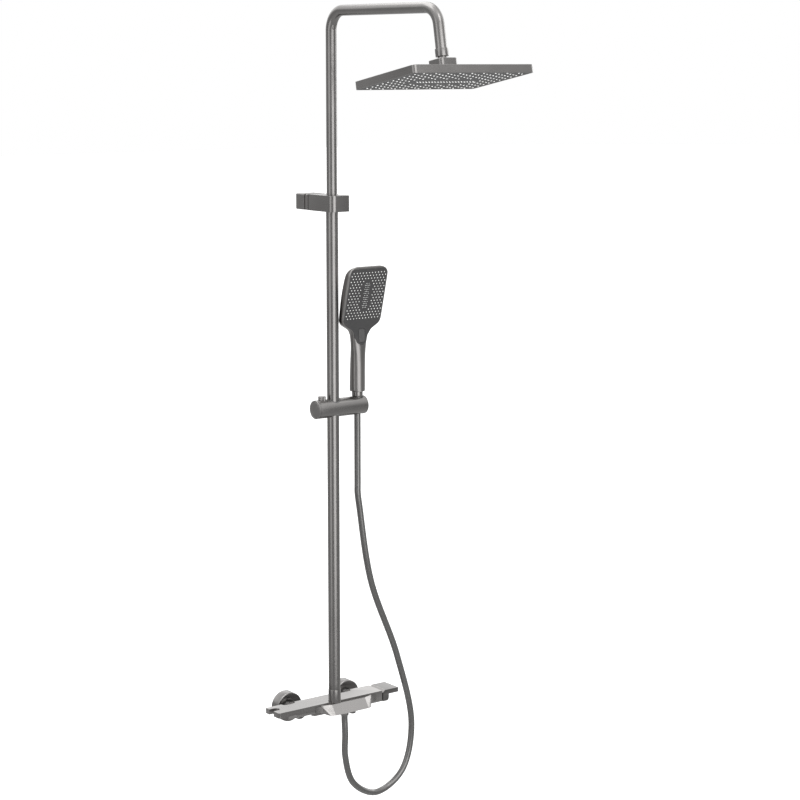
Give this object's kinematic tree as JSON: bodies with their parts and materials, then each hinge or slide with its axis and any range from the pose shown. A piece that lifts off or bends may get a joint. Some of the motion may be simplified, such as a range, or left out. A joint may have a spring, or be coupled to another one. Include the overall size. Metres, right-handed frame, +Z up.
{
  "type": "rainfall shower column",
  "caption": "Wall-mounted shower column with a shelf mixer and waterfall spout, telescopic riser, overhead rain head, and a hand shower in a sliding holder.",
  "frame": {"origin": "on the wall surface, midway between the two water inlets, at the height of their centres", "axes": "+X right along the wall as seen by a person facing it, -Y out into the room, +Z up"},
  "size_m": [0.3566, 0.5783, 1.6837],
  "materials": {
    "gunmetal": "satin gunmetal grey coating",
    "gunmetal_plastic": "satin metallic coating",
    "dark_plastic": "satin",
    "nozzle_rubber": "matte",
    "seal_rubber": "matte",
    "bearing_plastic": "matte",
    "plain_brass": "machined",
    "plain_steel": "machined",
    "hose_skin": "smooth satin"
  },
  "bodies": {
    "column": {"left_inlet_union": "plain_brass", "left_rosette": "gunmetal", "left_union_nut": "gunmetal", "left_inlet_washer": "seal_rubber", "right_inlet_union": "plain_brass", "right_rosette": "gunmetal", "right_union_nut": "gunmetal", "right_inlet_washer": "seal_rubber", "mixer_body": "gunmetal", "shelf_plate": "gunmetal", "spout_shell": "gunmetal", "spout_flow_guide": "dark_plastic", "cartridge": "bearing_plastic", "cartridge_nut": "plain_brass", "hose_outlet": "plain_brass", "hose_lower_nut": "gunmetal", "riser_spigot": "plain_brass", "riser_foot_nut": "gunmetal", "riser_foot_seal": "seal_rubber", "riser_lower_tube": "gunmetal", "telescope_bush": "bearing_plastic", "bracket_arm": "gunmetal", "bracket_grub_screw": "plain_steel", "bracket_neck": "dark_plastic", "bracket_wall_block": "gunmetal", "bracket_bolt": "plain_steel", "hose_lower": "hose_skin"},
    "overhead": {"overhead_arm": "gunmetal", "telescope_seal": "seal_rubber", "arm_collar": "gunmetal", "ball_stud": "plain_brass"},
    "ball_ring": {"ball_seat": "bearing_plastic"},
    "rain_head": {"head_boss": "gunmetal", "head_seal": "seal_rubber", "rain_head_shell": "gunmetal", "rain_face_plate": "dark_plastic", "rain_nozzle_mat": "nozzle_rubber"},
    "carrier": {"holder_bush": "bearing_plastic"},
    "holder": {"holder_bar": "gunmetal", "holder_cap": "gunmetal", "socket_liner": "bearing_plastic", "release_spring": "plain_steel", "hose_upper": "hose_skin"},
    "holder_button": {"release_button": "gunmetal"},
    "hand_shower": {"handset_shell": "gunmetal_plastic", "handset_face_plate": "dark_plastic", "handset_nozzle_mat": "nozzle_rubber", "handset_tongue": "dark_plastic", "handset_insert": "plain_brass", "hose_cone_nut": "gunmetal"},
    "spray_button": {"mode_button": "gunmetal_plastic"},
    "lever_stem": {"cartridge_stem": "plain_steel"},
    "lever": {"lever": "gunmetal", "lever_screw": "plain_steel"},
    "diverter": {"diverter_knob": "gunmetal", "diverter_stem": "plain_steel"}
  },
  "joints": [
    {"name": "column_height", "type": "slide", "parent": "column", "child": "overhead", "axis": [0, 0, 1], "range_m": [-0.25, 0.15]},
    {"name": "head_tilt", "type": "hinge", "parent": "overhead", "child": "ball_ring", "pos_m": [-0.01, -0.46318, 1.35132], "axis": [1, 0, 0], "range_deg": [-10, 10]},
    {"name": "head_roll", "type": "hinge", "parent": "ball_ring", "child": "rain_head", "pos_m": [-0.01, -0.46318, 1.35132], "axis": [0, 1, 0], "range_deg": [-10, 10]},
    {"name": "holder_slide", "type": "slide", "parent": "column", "child": "carrier", "axis": [0, 0, 1], "range_m": [-0.25, 0.05], "deforming": ["hose_lower"]},
    {"name": "holder_turn", "type": "hinge", "parent": "carrier", "child": "holder", "pos_m": [-0.01, -0.097, 0.651], "axis": [0, 0, 1], "range_deg": [-40, 40]},
    {"name": "release_press", "type": "slide", "parent": "holder", "child": "holder_button", "axis": [0, 0, 1], "range_m": [-0.003, 0], "stiffness_N_per_m": 600, "springref_m": 0.002, "deforming": ["release_spring"]},
    {"name": "hand_shower_lift", "type": "slide", "parent": "holder", "child": "hand_shower", "axis": [0, 0, 1], "range_m": [0, 0.06]},
    {"name": "mode_press", "type": "slide", "parent": "hand_shower", "child": "spray_button", "axis": [0, 1, 0], "range_m": [0, 0.0015], "stiffness_N_per_m": 800, "springref_m": -0.002},
    {"name": "lever_turn", "type": "hinge", "parent": "column", "child": "lever_stem", "pos_m": [0.118, -0.08, 0.0025], "axis": [1, 0, 0], "range_deg": [-45, 45]},
    {"name": "lever_lift", "type": "hinge", "parent": "lever_stem", "child": "lever", "pos_m": [0.118, -0.08, 0.008], "axis": [0, -1, 0], "range_deg": [0, 10]},
    {"name": "diverter_turn", "type": "hinge", "parent": "column", "child": "diverter", "pos_m": [0.038, -0.095, -0.0125], "axis": [0, 0, 1], "range_deg": [-60, 60]}
  ]
}
